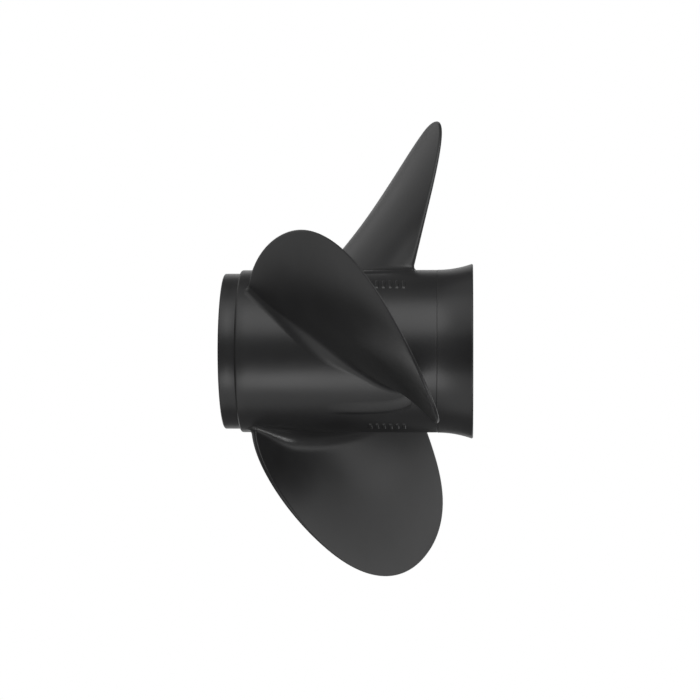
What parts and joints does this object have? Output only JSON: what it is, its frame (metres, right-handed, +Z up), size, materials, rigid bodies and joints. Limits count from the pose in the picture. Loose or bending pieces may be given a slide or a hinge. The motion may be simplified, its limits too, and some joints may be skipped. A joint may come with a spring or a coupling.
{
  "type": "outboard propeller",
  "caption": "Three-bladed right-hand outboard boat propeller with exhaust through a flared hub and a rubber-bushed splined sleeve.",
  "frame": {"origin": "where the shaft's axis meets the thrust face at the forward end of the splined sleeve", "axes": "+X along the shaft towards the stern, +Z up as pictured, +Y away from the pictured side"},
  "size_m": [0.165, 0.2916, 0.3129],
  "materials": {
    "black_paint": "satin black paint over cast aluminium",
    "bushing_rubber": "matt",
    "sleeve_bronze": "machined"
  },
  "bodies": {
    "root": {"barrel": "black_paint", "diffuser_ring": "black_paint", "inner_hub": "black_paint", "rib_1": "black_paint", "rib_2": "black_paint", "rib_3": "black_paint", "blade_1": "black_paint", "blade_2": "black_paint", "blade_3": "black_paint", "rubber_bushing": "bushing_rubber", "splined_sleeve": "sleeve_bronze"}
  },
  "joints": []
}
